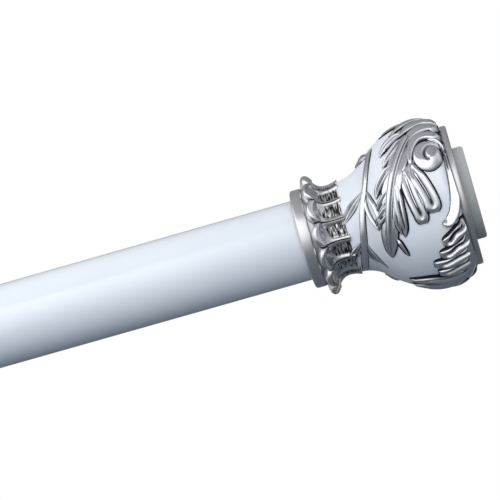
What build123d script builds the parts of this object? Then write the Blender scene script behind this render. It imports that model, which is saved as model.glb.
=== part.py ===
from build123d import *
from math import atan, cos, pi, radians, sin, sqrt, tan
import os

# Telescopic curtain rod, clamped between two walls by its own spring.
# +X runs along the rod from the fixed end's wall face, the origin, to the sliding end, and +Z is up.
# Millimetres and degrees.

# Tubes
outer_diameter = 25.0
inner_diameter = 22.0
tube_wall = 0.8
extension = 200.0  # travel of the outer tube along the inner one
overlap = 20.0  # inner tube still held by the outer one when drawn right out
press_travel = 12.0  # stroke of the spring

# Clearances, on the radius or end to end
press_clearance = 0.05  # pieces pushed or screwed together
slide_clearance = 0.1  # pieces that slide or turn on each other
free_clearance = 0.3  # pieces that pass each other
end_clearance = 1.0  # spare room at the end of a stroke

# Finial: one casting with a petal crown and carved leaves
finial_length = 51.3  # flange to the mouth of the socket
flange_radius = 21.8
flange_thickness = 2.4
bulb_radius = 25.2
bulb_centre = 10.6  # flange to the centre of the bulb
bulb_front = 4.6  # where the bulb meets the chamfer behind the flange
shoulder_angle = 43.0
neck_radius = 14.2
neck_arc_radius = 12.0
collar_radius = 15.4
collar_width = 3.8
socket_depth = 8.0
petal_count = 14
petal_root_radius = 14.8
petal_waist_radius = 13.4
petal_flare_radius = 15.6
petal_tip_radius = 19.0
petal_rib = 1.05  # ribs between petals, as a share of the radius of the petals' floors
petal_gap = 0.86  # gaps between their tips, likewise
crown_lap = 0.15  # how far the crown's roots lap over the neck
crown_lip = 1.8  # tips of the petals to the collar
bulb_steps = 7
neck_steps = 4
carving_copies = 2
carving_root = 0.9  # how deep the carving is set in the body
carving_tip = 0.3  # how deep the ends of a ridge run into the body
volute_place = 6.4
volute_angle = 33.0
volute_radius = 3.6
volute_crown = 1.4
volute_height = 1.8

# Wall pad, its plate and the screw that draws the finial on to the tube
pad_radius = 14.4
pad_proud = 3.2
pad_depth = 4.0
pad_chamfer = 0.6
plate_thickness = 2.0
plate_side_count = 12
screw_radius = 2.5
screw_head_flats = 8.0
screw_head_height = 3.0
screw_reach = 14.0  # length held by the tube's plug
tube_plug_length = 18.0
plug_rib_count = 12
plug_rib_depth = 1.2
bush_rib_depth = 0.6

# Mouth ring on the outer tube, and the lip it shows
ring_side_count = 36  # flats of its sleeve, which spare the tubes
lip_thickness = 1.5
lip_proud = 0.5
ring_sleeve_length = 10.0

# Twist lock
guide_length = 20.0
guide_rim_thickness = 2.0
guide_rim_side_count = 12
shaft_flats = 9.0
shaft_head_flats = 16.6
shaft_head_length = 5.0
shaft_shoulder_flats = 13.0
shaft_shoulder_length = 2.0
shaft_tip = 1.0
thread_radius = 4.0
wedge_draw = 1.0  # how far the wedge is drawn in to lock
collet_length = 17.0
collet_flat_count = 24
collet_slot_count = 3
collet_slot_width = 2.0
collet_slot_length = 12.0
wedge_length = 10.0
wedge_flats = 15.6  # across the flats of its wide end
wedge_taper = 11.0
wedge_entry = 5.0  # how far the wedge reaches into the collet when unlocked
nut_thickness = 4.0
nut_flats = 13.0

# Press spring
spring_length = 60.0
spring_radius = 7.6
spring_wire = 1.8
spring_turn_count = 8
spring_run_count = 10  # straight runs to a turn
seat_length = 18.0
seat_boss_length = 4.0
seat_boss_flats = 10.6

# Places along the rod, from the fixed wall to the sliding end
flange_x = pad_proud
collar_x = flange_x + finial_length
inner_start = collar_x - socket_depth
mouth_x = collar_x + press_travel + end_clearance
outer_start = mouth_x + lip_thickness
inner_end = outer_start + extension + overlap
shoulder_x = inner_end + guide_rim_thickness + press_travel + end_clearance
collet_start = shoulder_x + shaft_shoulder_length + free_clearance
collet_end = collet_start + collet_length
wedge_start = collet_end - wedge_entry
nut_start = wedge_start + wedge_length + free_clearance
shaft_end = nut_start + nut_thickness + shaft_tip
plug_start = shaft_end + end_clearance
outer_end = plug_start + tube_plug_length
closed_length = outer_end - socket_depth + finial_length + pad_proud
head_end = inner_end - guide_length - free_clearance
head_start = head_end - shaft_head_length
spring_end = head_start - free_clearance
spring_start = spring_end - spring_length
seat_end = spring_start - free_clearance

# Radii that follow from the tubes
outer_radius = outer_diameter / 2
outer_bore = outer_radius - tube_wall
inner_radius = inner_diameter / 2
inner_bore = inner_radius - tube_wall
recess_depth = pad_depth + plate_thickness
plate_x = flange_x + pad_depth
recess_end = flange_x + recess_depth
clear_hole = screw_radius + slide_clearance

middle = Axis((closed_length / 2, 0, 0), (0, 0, 1))
os.makedirs("parts", exist_ok=True)


def write(builder, name):
    builder.part.label = name
    export_step(builder.part, f"parts/{name}.step")


def across(x):
    # the plane square to the rod at x
    return Plane(origin=(x, 0, 0), x_dir=(0, 1, 0), z_dir=(1, 0, 0))


def corner_radius(flats):
    # a hexagon's corners, from its size across the flats
    return flats / 2 / cos(pi / 6)


# The finial's outline, measured along the rod from its flange
shoulder = radians(shoulder_angle)
shoulder_place = bulb_centre + bulb_radius * sin(shoulder)
neck_arc_start = shoulder_place + (
    bulb_radius * cos(shoulder) - neck_radius - neck_arc_radius * (1 - cos(shoulder))
) / tan(shoulder)
neck_place = neck_arc_start + neck_arc_radius * sin(shoulder)
collar_place = finial_length - collar_width


def body_radius(place):
    # flange, chamfer, bulb, shoulder and neck
    if place < flange_thickness:
        return flange_radius
    if place < bulb_front:
        rise = (place - flange_thickness) / (bulb_front - flange_thickness)
        return flange_radius + rise * (body_radius(bulb_front) - flange_radius)
    if place < shoulder_place:
        return sqrt(bulb_radius**2 - (place - bulb_centre) ** 2)
    if place < neck_arc_start:
        return bulb_radius * cos(shoulder) - (place - shoulder_place) * tan(shoulder)
    if place < neck_place:
        return neck_radius + neck_arc_radius - sqrt(neck_arc_radius**2 - (place - neck_place) ** 2)
    return neck_radius


def on_body(place, angle, height=0.0):
    # a point on the body, or standing off it by a height
    step = 0.01
    slope = atan((body_radius(place + step) - body_radius(place - step)) / (2 * step))
    radius = body_radius(place) + height * cos(slope)
    x = flange_x + place - height * sin(slope)
    return Vector(x, radius * cos(radians(angle)), radius * sin(radians(angle)))


def facet(*corners):
    return Face(Wire.make_polygon(corners, close=True))


def faceted(rings):
    # a solid with flat facets between rings of points, where a ring of one point is a tip
    facets = []
    for near, far in zip(rings, rings[1:]):
        for i in range(max(len(near), len(far))):
            a = near[i % len(near)]
            b = near[(i + 1) % len(near)]
            c = far[(i + 1) % len(far)]
            d = far[i % len(far)]
            if len(near) > 1:
                facets.append(facet(a, b, c))
            if len(far) > 1:
                facets.append(facet(a, c, d))
    facets += [facet(*end) for end in (rings[0], rings[-1]) if len(end) > 1]
    return Solid(Shell(facets)).clean()


def ring(place, radius, share=1.0):
    # a section of the finial: three corners to a petal, the first of them at a share of the radius
    corners = []
    for i in range(petal_count * 3):
        reach = radius if i % 3 else radius * share
        angle = 2 * pi * i / (petal_count * 3)
        corners.append(Vector(flange_x + place, reach * cos(angle), reach * sin(angle)))
    return corners


def ridge(spine, half_width, height):
    # a carved ridge along (place, angle) points: roof-shaped, with both ends run out to a tip
    rings = [[on_body(*spine[0], -carving_tip)]]
    for before, here, after in zip(spine, spine[1:], spine[2:]):
        along = on_body(*after) - on_body(*before)
        outward = on_body(*here, 1) - on_body(*here)
        aside = along.cross(outward).normalized() * half_width
        seat = on_body(*here, -carving_root)
        rings.append([seat - aside, seat + aside, on_body(*here, height)])
    rings.append([on_body(*spine[-1], -carving_tip)])
    return faceted(rings)


def volute():
    # the eye of the scroll, a low boss
    seat = on_body(volute_place, volute_angle, -carving_root)
    plane = Plane(seat, z_dir=on_body(volute_place, volute_angle) - seat)
    base = [plane.from_local_coords(Vector(volute_radius, 0, 0).rotate(Axis.Z, 36 * i)) for i in range(10)]
    rise = carving_root + volute_height
    top = [plane.from_local_coords(Vector(volute_crown, 0, rise).rotate(Axis.Z, 36 * i)) for i in range(10)]
    return faceted([base, top])


# Carving of one half of the finial: spines as (distance from the flange, angle round the rod)
carving = [
    ridge([(10.4, 64), (15.0, 44), (19.6, 21), (23.2, -4), (26.4, -42)], 2.3, 1.5),  # main leaf's rib
    ridge([(11.2, 62), (15.0, 58), (18.8, 53), (22.4, 45)], 1.9, 1.3),  # its neck-side lobes
    ridge([(14.8, 46), (17.5, 42), (19.8, 40), (22.6, 35)], 1.5, 1.2),
    ridge([(17.4, 34), (19.8, 30), (22.6, 25), (25.8, 11)], 1.6, 1.2),
    ridge([(20.0, 19), (22.6, 14), (25.2, 7), (27.7, -8)], 1.5, 1.1),
    ridge([(14.0, 45), (12.0, 32), (11.0, 15), (10.2, 2), (9.7, -10)], 2.3, 1.5),  # its flange-side lobes
    ridge([(16.6, 34), (15.5, 17), (14.8, 1), (14.3, -16)], 2.3, 1.4),
    ridge([(18.6, 22), (18.6, 7), (19.1, -7), (20.1, -22)], 1.7, 1.1),
    ridge([(15.4, 74), (10.8, 83.5), (6.6, 85), (2.8, 74)], 1.5, 1.6),  # strands over the volute
    ridge([(14.0, 63), (9.8, 69.5), (6.2, 69), (2.6, 58)], 1.5, 1.4),
    # scroll from the leaf's root down the flange
    ridge([(13.2, 38), (10.0, 50), (6.0, 52), (3.6, 43), (3.2, 14), (4.4, -10), (8.4, -15)], 1.7, 1.4),
    ridge([(3.0, -12), (3.2, -38), (5.8, -62), (11.4, -80), (20.0, -95)], 2.2, 1.4),  # flange leaf's rib
    ridge([(3.0, -20), (5.2, -24), (8.0, -26), (10.8, -29)], 1.9, 1.3),  # its lobes
    ridge([(3.2, -32), (5.9, -34), (9.2, -34), (12.4, -36.5)], 1.9, 1.3),
    ridge([(3.6, -42), (7.4, -44), (11.4, -43.5), (15.2, -45)], 1.9, 1.3),
    ridge([(7.0, -62), (12.6, -62), (17.9, -62.5), (23.4, -69)], 2.2, 1.3),
    ridge([(23.4, 79), (26.4, 51), (29.6, 26), (32.3, -1), (35.8, -82)], 0.9, 1.0),  # stem round the neck
    ridge([(30.0, 32), (32.6, 25), (35.0, 16), (36.9, 5)], 1.6, 0.9),  # leaf on the neck
    volute(),
]

crown_root = neck_place - crown_lap
crown_width = collar_place - crown_root
crown_waist = crown_root + 0.4 * crown_width
crown_flare = crown_root + 0.68 * crown_width
crown_tip = collar_place - crown_lip
places = [0, flange_thickness]
places += [bulb_front + (shoulder_place - bulb_front) * i / bulb_steps for i in range(bulb_steps + 1)]
places += [neck_arc_start + (neck_place - neck_arc_start) * i / neck_steps for i in range(neck_steps + 1)]
body = faceted([ring(place, body_radius(place)) for place in places])
crown = faceted(
    [
        ring(crown_root, petal_root_radius, petal_rib),
        ring(crown_waist, petal_waist_radius, petal_rib),
        ring(crown_flare, petal_flare_radius),
        ring(crown_tip, petal_tip_radius, petal_gap),
        ring(collar_place, collar_radius),
        ring(finial_length, collar_radius),
    ]
)

with BuildPart() as finial_fixed:
    add([body, crown])
    # carved leaves and volutes
    for i in range(carving_copies):
        add([piece.rotate(Axis.X, 360 * i / carving_copies) for piece in carving])
    # socket for the tube, hole for the screw, recess for the pad
    with BuildSketch(across(inner_start)):
        Circle(outer_radius + press_clearance)
    extrude(amount=socket_depth, mode=Mode.SUBTRACT)
    with BuildSketch(across(recess_end)):
        Circle(clear_hole)
    extrude(amount=inner_start - recess_end, mode=Mode.SUBTRACT)
    seat_radius = pad_radius + press_clearance
    add(faceted([ring(0, seat_radius), ring(recess_depth, seat_radius)]), mode=Mode.SUBTRACT)
write(finial_fixed, "finial_fixed")

with BuildPart() as finial_sliding:
    add(finial_fixed.part.rotate(middle, 180))
write(finial_sliding, "finial_sliding")


# Wall pad over a plate and its screw, the same at both ends
with BuildPart() as wall_pad_fixed:
    face = ring(-pad_proud, pad_radius - pad_chamfer)
    edge = ring(pad_chamfer - pad_proud, pad_radius)
    add(faceted([face, edge, ring(pad_depth, pad_radius)]))
    # hollow for the screw's head
    hollow = screw_head_height + free_clearance
    with BuildSketch(across(plate_x - hollow)):
        RegularPolygon(corner_radius(screw_head_flats + 2 * free_clearance), 6)
    extrude(amount=hollow, mode=Mode.SUBTRACT)
write(wall_pad_fixed, "wall_pad_fixed")

with BuildPart() as pad_plate_fixed:
    with BuildSketch(across(plate_x)):
        RegularPolygon(pad_radius, plate_side_count)
        Circle(clear_hole, mode=Mode.SUBTRACT)
    extrude(amount=plate_thickness)
write(pad_plate_fixed, "pad_plate_fixed")

with BuildPart() as draw_screw_fixed:
    with BuildSketch(across(plate_x - screw_head_height)):
        RegularPolygon(corner_radius(screw_head_flats), 6)
    extrude(amount=screw_head_height)
    with BuildSketch(across(plate_x)):
        Circle(screw_radius)
    extrude(amount=inner_start + screw_reach - plate_x)
write(draw_screw_fixed, "draw_screw_fixed")

with BuildPart() as wall_pad_sliding:
    add(wall_pad_fixed.part.rotate(middle, 180))
write(wall_pad_sliding, "wall_pad_sliding")

with BuildPart() as pad_plate_sliding:
    add(pad_plate_fixed.part.rotate(middle, 180))
write(pad_plate_sliding, "pad_plate_sliding")

with BuildPart() as draw_screw_sliding:
    add(draw_screw_fixed.part.rotate(middle, 180))
write(draw_screw_sliding, "draw_screw_sliding")


def ribbed(radius, depth):
    # outline of a plug with ribs that bite on a round wall
    points = []
    for i in range(plug_rib_count * 2):
        reach = radius - depth * (i % 2)
        points.append((reach * cos(pi * i / plug_rib_count), reach * sin(pi * i / plug_rib_count)))
    return points


# Plugs in the tubes' outer ends, which take the screws
with BuildPart() as tube_plug_fixed:
    with BuildSketch(across(inner_start)):
        with BuildLine():
            Polyline(*ribbed(inner_bore - press_clearance, plug_rib_depth), close=True)
        make_face()
        Circle(screw_radius + press_clearance, mode=Mode.SUBTRACT)
    extrude(amount=tube_plug_length)
write(tube_plug_fixed, "tube_plug_fixed")

with BuildPart() as tube_plug_sliding:
    with BuildSketch(across(plug_start)):
        with BuildLine():
            Polyline(*ribbed(outer_bore - press_clearance, plug_rib_depth), close=True)
        make_face()
        Circle(screw_radius + press_clearance, mode=Mode.SUBTRACT)
    extrude(amount=tube_plug_length)
write(tube_plug_sliding, "tube_plug_sliding")


# Tubes, and the rings that fit one to the other and to the finial
with BuildPart() as inner_tube:
    with BuildSketch(across(inner_start)):
        Circle(inner_radius)
        Circle(inner_bore, mode=Mode.SUBTRACT)
    extrude(amount=inner_end - inner_start)
write(inner_tube, "inner_tube")

with BuildPart() as outer_tube:
    with BuildSketch(across(outer_start)):
        Circle(outer_radius)
        Circle(outer_bore, mode=Mode.SUBTRACT)
    extrude(amount=outer_end - outer_start)
write(outer_tube, "outer_tube")

with BuildPart() as reducer_bush:
    with BuildSketch(across(inner_start)):
        with BuildLine():
            Polyline(*ribbed(outer_radius, bush_rib_depth), close=True)
        make_face()
        bush_bore = inner_radius + press_clearance
        RegularPolygon(bush_bore, plug_rib_count * 2, major_radius=False, mode=Mode.SUBTRACT)
    extrude(amount=socket_depth)
write(reducer_bush, "reducer_bush")

with BuildPart() as mouth_ring:
    with BuildSketch(across(mouth_x)):
        Circle(outer_radius + lip_proud)
    extrude(amount=lip_thickness)
    with BuildSketch(across(outer_start)):
        RegularPolygon(outer_bore - press_clearance, ring_side_count)
    extrude(amount=ring_sleeve_length)
    with BuildSketch(across(mouth_x)):
        RegularPolygon(inner_radius + slide_clearance, ring_side_count, major_radius=False)
    extrude(amount=lip_thickness + ring_sleeve_length, mode=Mode.SUBTRACT)
write(mouth_ring, "mouth_ring")


# Press spring on its seat
with BuildPart() as spring_seat:
    with BuildSketch(across(seat_end - seat_length)):
        with BuildLine():
            Polyline(*ribbed(inner_bore - press_clearance, plug_rib_depth), close=True)
        make_face()
    extrude(amount=seat_length)
    with BuildSketch(across(seat_end)):
        RegularPolygon(corner_radius(seat_boss_flats), 6)
    extrude(amount=seat_boss_length)
write(spring_seat, "spring_seat")

coil = []
for i in range(spring_turn_count * spring_run_count + 1):
    turn = 2 * pi * i / spring_run_count
    share = i / (spring_turn_count * spring_run_count)
    x = spring_start + spring_wire / 2 + (spring_length - spring_wire) * share
    corners = []
    for dx, dr in ((-1, -1), (1, -1), (1, 1), (-1, 1)):
        reach = spring_radius + dr * spring_wire / 2
        corners.append(Vector(x + dx * spring_wire / 2, reach * cos(turn), reach * sin(turn)))
    coil.append(corners)
with BuildPart() as press_spring:
    add(faceted(coil))
write(press_spring, "press_spring")


# Twist lock
with BuildPart() as lock_shaft:
    with BuildSketch(across(head_start)):
        RegularPolygon(corner_radius(shaft_head_flats), 6)
    extrude(amount=shaft_head_length)
    with BuildSketch(across(head_end)):
        RegularPolygon(corner_radius(shaft_flats), 6)
    extrude(amount=shoulder_x - head_end)
    with BuildSketch(across(shoulder_x)):
        RegularPolygon(corner_radius(shaft_shoulder_flats), 6)
    extrude(amount=shaft_shoulder_length)
    with BuildSketch(across(shoulder_x + shaft_shoulder_length)):
        Circle(thread_radius)
    extrude(amount=shaft_end - shoulder_x - shaft_shoulder_length)
write(lock_shaft, "lock_shaft")

with BuildPart() as guide_plug:
    with BuildSketch(across(inner_end - guide_length)):
        with BuildLine():
            Polyline(*ribbed(inner_bore - press_clearance, plug_rib_depth), close=True)
        make_face()
    extrude(amount=guide_length)
    with BuildSketch(across(inner_end)):
        RegularPolygon(outer_bore - free_clearance, guide_rim_side_count)
    extrude(amount=guide_rim_thickness)
    with BuildSketch(across(inner_end - guide_length)):
        RegularPolygon(corner_radius(shaft_flats + 2 * slide_clearance), 6)
    extrude(amount=guide_length + guide_rim_thickness, mode=Mode.SUBTRACT)
write(guide_plug, "guide_plug")


def wedge(x, length, clearance):
    # the lock's six-sided wedge from its wide end at x, larger all round by a clearance
    rings = []
    for back in (0, length):
        corner = corner_radius(wedge_flats + 2 * clearance - 2 * back * tan(radians(wedge_taper)))
        rings.append([Vector(x - back, corner, 0).rotate(Axis.X, 60 * i) for i in range(6)])
    return faceted(rings)


with BuildPart() as wedge_nut:
    add(wedge(wedge_start + wedge_length, wedge_length, 0))
    with BuildSketch(across(wedge_start)):
        Circle(thread_radius + slide_clearance)
    extrude(amount=wedge_length, mode=Mode.SUBTRACT)
write(wedge_nut, "wedge_nut")

with BuildPart() as grip_collet:
    with BuildSketch(across(collet_start)):
        RegularPolygon(outer_bore - slide_clearance, collet_flat_count)
        Circle(thread_radius + slide_clearance, mode=Mode.SUBTRACT)
    extrude(amount=collet_length)
    # seat for the wedge, with room left when it is drawn right in
    drawn_in = wedge_start + wedge_length - wedge_draw
    add(wedge(drawn_in, wedge_length + end_clearance, slide_clearance), mode=Mode.SUBTRACT)
    # slots that let its jaws spread
    with BuildSketch(across(collet_end - collet_slot_length)):
        with PolarLocations(outer_bore / 2, collet_slot_count):
            Rectangle(outer_bore, collet_slot_width)
    extrude(amount=collet_slot_length, mode=Mode.SUBTRACT)
write(grip_collet, "grip_collet")

with BuildPart() as stop_nut:
    with BuildSketch(across(nut_start)):
        RegularPolygon(corner_radius(nut_flats), 6)
        Circle(thread_radius + press_clearance, mode=Mode.SUBTRACT)
    extrude(amount=nut_thickness)
write(stop_nut, "stop_nut")
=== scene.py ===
from math import atan, cos, exp, pi, radians, sin, sqrt, tan
import bpy
import bmesh
from mathutils import Matrix, Vector, noise


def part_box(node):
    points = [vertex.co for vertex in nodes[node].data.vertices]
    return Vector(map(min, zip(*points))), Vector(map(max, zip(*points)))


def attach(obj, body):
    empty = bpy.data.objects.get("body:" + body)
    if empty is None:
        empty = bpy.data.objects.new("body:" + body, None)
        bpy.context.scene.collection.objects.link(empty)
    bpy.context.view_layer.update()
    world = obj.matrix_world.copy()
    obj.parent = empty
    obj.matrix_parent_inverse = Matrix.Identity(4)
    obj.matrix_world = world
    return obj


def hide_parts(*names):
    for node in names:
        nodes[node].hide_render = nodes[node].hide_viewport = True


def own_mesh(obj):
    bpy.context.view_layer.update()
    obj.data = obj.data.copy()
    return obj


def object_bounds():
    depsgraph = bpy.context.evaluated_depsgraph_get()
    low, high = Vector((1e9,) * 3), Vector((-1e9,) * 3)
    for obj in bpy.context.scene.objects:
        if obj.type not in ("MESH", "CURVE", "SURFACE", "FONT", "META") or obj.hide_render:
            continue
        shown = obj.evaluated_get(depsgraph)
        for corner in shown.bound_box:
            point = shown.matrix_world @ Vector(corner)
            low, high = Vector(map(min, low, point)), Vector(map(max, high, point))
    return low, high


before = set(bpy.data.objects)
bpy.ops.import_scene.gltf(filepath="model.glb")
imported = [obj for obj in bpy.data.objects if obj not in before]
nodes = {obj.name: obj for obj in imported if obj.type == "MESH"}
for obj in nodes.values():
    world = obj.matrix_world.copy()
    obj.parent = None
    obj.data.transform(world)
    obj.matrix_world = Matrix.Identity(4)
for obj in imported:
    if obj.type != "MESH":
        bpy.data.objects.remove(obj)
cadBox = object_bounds()
mm = 0.001
rodLength = cadBox[1][0] - cadBox[0][0]
print("frame loaded, rod", round(rodLength / mm, 1), "mm long")


# node helpers

mixA, mixB, mixOut = 6, 7, 2  # the Mix node's colour sockets


def addNode(tree, kind, x, y, **values):
    node = tree.nodes.new(kind)
    node.location = (x, y)
    for name, value in values.items():
        setattr(node, name, value)
    return node


def join(tree, fromNode, output, toNode, entry):
    tree.links.new(fromNode.outputs[output], toNode.inputs[entry])


def setInputs(node, values):
    for label, value in values.items():
        node.inputs[label].default_value = value


def addMath(tree, x, y, operation, *sources):
    # a Math node fed by pairs of a node and its output
    node = addNode(tree, "ShaderNodeMath", x, y, operation=operation)
    for entry, (source, output) in enumerate(sources):
        join(tree, source, output, node, entry)
    return node


def newGroup(name, entries, results):
    group = bpy.data.node_groups.new(name, "ShaderNodeTree")
    for label, kind, value in entries:
        socket = group.interface.new_socket(name=label, in_out="INPUT", socket_type=kind)
        socket.default_value = value
    for label, kind in results:
        group.interface.new_socket(name=label, in_out="OUTPUT", socket_type=kind)
    start = addNode(group, "NodeGroupInput", -900, 0)
    end = addNode(group, "NodeGroupOutput", 700, 0)
    return group, start, end


def newMaterial(name):
    material = bpy.data.materials.new(name)
    material.use_nodes = True
    tree = material.node_tree
    tree.nodes.clear()
    shader = addNode(tree, "ShaderNodeBsdfPrincipled", 300, 0)
    output = addNode(tree, "ShaderNodeOutputMaterial", 600, 0)
    join(tree, shader, "BSDF", output, "Surface")
    return material, tree, shader


def placeGroup(tree, group, x, y, **values):
    node = addNode(tree, "ShaderNodeGroup", x, y)
    node.node_tree = group
    setInputs(node, values)
    return node


def addBump(tree, source, output, shader, strength, distance):
    bump = addNode(tree, "ShaderNodeBump", 50, -320)
    setInputs(bump, {"Strength": strength, "Distance": distance})
    join(tree, source, output, bump, "Height")
    join(tree, bump, "Normal", shader, "Normal")


# shared effects

effectResults = [("Color", "NodeSocketColor"), ("Roughness", "NodeSocketFloat"), ("Height", "NodeSocketFloat")]
mottleLook = {"patchDetail": 4, "toothDetail": 3, "spread": {"From Min": 0.35, "From Max": 0.7}}
# how the dark wash and painted shade are broken up: grain, jitter, and the tone below which all is dark
shadeAndWashLook = {"grainDetail": 5, "jitter": 0.22, "fullyDark": 0.14}


def makeMottle():
    # slow drift of tone and a fine tooth, for paint, resin, rubber and mouldings
    group, start, end = newGroup(
        "mottle",
        [
            ("Tone", "NodeSocketColor", (0.8, 0.8, 0.8, 1)),
            ("Shade", "NodeSocketColor", (0.7, 0.7, 0.7, 1)),
            ("Patch", "NodeSocketFloat", 40.0),
            ("Tooth", "NodeSocketFloat", 900.0),
            ("RoughLow", "NodeSocketFloat", 0.2),
            ("RoughHigh", "NodeSocketFloat", 0.3),
        ],
        effectResults,
    )
    coords = addNode(group, "ShaderNodeTexCoord", -900, -300)
    patch = addNode(group, "ShaderNodeTexNoise", -600, 150)
    tooth = addNode(group, "ShaderNodeTexNoise", -600, -250)
    for texture, scale, detail in ((patch, "Patch", "patchDetail"), (tooth, "Tooth", "toothDetail")):
        texture.inputs["Detail"].default_value = mottleLook[detail]
        join(group, coords, "Object", texture, "Vector")
        join(group, start, scale, texture, "Scale")
    blend = addNode(group, "ShaderNodeMix", -200, 200, data_type="RGBA")
    spread = addNode(group, "ShaderNodeMapRange", -400, 200)
    setInputs(spread, mottleLook["spread"])
    join(group, patch, "Fac", spread, "Value")
    join(group, spread, "Result", blend, "Factor")
    join(group, start, "Tone", blend, mixA)
    join(group, start, "Shade", blend, mixB)
    rough = addNode(group, "ShaderNodeMapRange", -200, -100)
    join(group, patch, "Fac", rough, "Value")
    join(group, start, "RoughLow", rough, "To Min")
    join(group, start, "RoughHigh", rough, "To Max")
    join(group, blend, mixOut, end, "Color")
    join(group, rough, "Result", end, "Roughness")
    join(group, tooth, "Fac", end, "Height")
    return group


def makeRecessWash():
    # dark wash and painted shade where the carving's tone value is low, in its hollows, cuts, edges and sides;
    # bare silver on its crests
    group, start, end = newGroup(
        "recessWash",
        [
            ("Silver", "NodeSocketColor", (0.8, 0.8, 0.82, 1)),
            ("Wash", "NodeSocketColor", (0.05, 0.05, 0.055, 1)),
            ("Reach", "NodeSocketFloat", 0.55),
            ("Grain", "NodeSocketFloat", 420.0),
            ("RoughLow", "NodeSocketFloat", 0.2),
            ("RoughHigh", "NodeSocketFloat", 0.5),
        ],
        effectResults,
    )
    coords = addNode(group, "ShaderNodeTexCoord", -1100, -300)
    shadeAndWashTone = addNode(group, "ShaderNodeAttribute", -1100, 200, attribute_name="shadeAndWashTone")
    grain = addNode(group, "ShaderNodeTexNoise", -900, -300)
    grain.inputs["Detail"].default_value = shadeAndWashLook["grainDetail"]
    join(group, coords, "Object", grain, "Vector")
    join(group, start, "Grain", grain, "Scale")
    jitter = addNode(group, "ShaderNodeMath", -650, -150, operation="MULTIPLY_ADD")
    jitter.inputs[1].default_value = shadeAndWashLook["jitter"]
    join(group, grain, "Fac", jitter, 0)
    join(group, shadeAndWashTone, "Fac", jitter, 2)
    silverShare = addNode(group, "ShaderNodeMapRange", -400, 100, interpolation_type="SMOOTHSTEP")
    silverShare.inputs["From Min"].default_value = shadeAndWashLook["fullyDark"]
    join(group, jitter, "Value", silverShare, "Value")
    join(group, start, "Reach", silverShare, "From Max")
    blend = addNode(group, "ShaderNodeMix", 0, 200, data_type="RGBA")
    join(group, silverShare, "Result", blend, "Factor")
    join(group, start, "Wash", blend, mixA)
    join(group, start, "Silver", blend, mixB)
    rough = addNode(group, "ShaderNodeMapRange", 0, -120)
    join(group, silverShare, "Result", rough, "Value")
    join(group, start, "RoughHigh", rough, "To Min")
    join(group, start, "RoughLow", rough, "To Max")
    join(group, blend, mixOut, end, "Color")
    join(group, rough, "Result", end, "Roughness")
    join(group, grain, "Fac", end, "Height")
    return group


mottle = makeMottle()
recessWash = makeRecessWash()
print("shared effects ready")


# finishes, with bump depths in mm

finishLook = {"coatRoughness": 0.06, "toothDepth": 0.2, "grainBump": 0.12, "grainDepth": 0.15}


def makeCoated(name, tone, shade, roughLow, roughHigh, patch=40.0, tooth=900.0, bump=0.05, coat=0.0):
    material, tree, shader = newMaterial(name)
    finish = placeGroup(
        tree, mottle, -250, 0, Tone=(*tone, 1), Shade=(*shade, 1), Patch=patch, Tooth=tooth,
        RoughLow=roughLow, RoughHigh=roughHigh,
    )
    join(tree, finish, "Color", shader, "Base Color")
    join(tree, finish, "Roughness", shader, "Roughness")
    setInputs(shader, {"Coat Weight": coat, "Coat Roughness": finishLook["coatRoughness"]})
    addBump(tree, finish, "Height", shader, bump, finishLook["toothDepth"] * mm)
    return material


def makeSilver(name, silver, shadeAndWash, reach, roughLow, roughHigh, metallic):
    material, tree, shader = newMaterial(name)
    finish = placeGroup(
        tree, recessWash, -250, 0, Silver=(*silver, 1), Wash=(*shadeAndWash, 1), Reach=reach,
        RoughLow=roughLow, RoughHigh=roughHigh,
    )
    join(tree, finish, "Color", shader, "Base Color")
    join(tree, finish, "Roughness", shader, "Roughness")
    shader.inputs["Metallic"].default_value = metallic
    addBump(tree, finish, "Height", shader, finishLook["grainBump"], finishLook["grainDepth"] * mm)
    return material


# each with its main tone, its darker tone and its roughness from low to high
tubeEnamel = makeCoated(
    "tubeEnamel", (0.85, 0.87, 0.90), (0.82, 0.84, 0.88), 0.10, 0.14, bump=0.008, coat=0.8
)
trimMoulding = makeCoated("trimMoulding", (0.82, 0.83, 0.85), (0.78, 0.79, 0.82), 0.25, 0.34, bump=0.03)
finialWhite = makeCoated(
    "finialWhite", (0.84, 0.84, 0.87), (0.76, 0.76, 0.80), 0.3, 0.42, patch=90, bump=0.06
)
padRubber = makeCoated("padRubber", (0.49, 0.49, 0.48), (0.42, 0.42, 0.41), 0.6, 0.75, tooth=1500, bump=0.3)
innerMoulding = makeCoated("innerMoulding", (0.74, 0.73, 0.70), (0.66, 0.65, 0.62), 0.4, 0.55, bump=0.1)
# each with its silver, the colour of its dark wash and painted shade, how far that dark reaches, its roughness
# from low to high and how metallic it is
silverLeaf = makeSilver("silverLeaf", (0.72, 0.74, 0.785), (0.02, 0.02, 0.024), 0.85, 0.18, 0.5, 0.9)
petalSilver = makeSilver("petalSilver", (0.71, 0.71, 0.735), (0.03, 0.026, 0.022), 0.85, 0.2, 0.55, 0.9)
turnedSilver = makeSilver("turnedSilver", (0.70, 0.70, 0.72), (0.03, 0.026, 0.022), 0.85, 0.32, 0.5, 0.9)
plainSteel = makeSilver("plainSteel", (0.58, 0.58, 0.57), (0.40, 0.40, 0.40), 0.3, 0.28, 0.4, 1.0)
print("finishes ready")


# piece helpers

wideSteps, smallSteps = 128, 96  # facets round the rod


def newPiece(name, bm, material, body, slot, *replaced):
    for face in bm.faces:
        face.smooth = True
    mesh = bpy.data.meshes.new(name)
    bm.to_mesh(mesh)
    bm.free()
    mesh.materials.append(material)
    piece = bpy.data.objects.new(name, mesh)
    bpy.context.scene.collection.objects.link(piece)
    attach(piece, body)
    if replaced:
        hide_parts(*replaced)
    return piece


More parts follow.
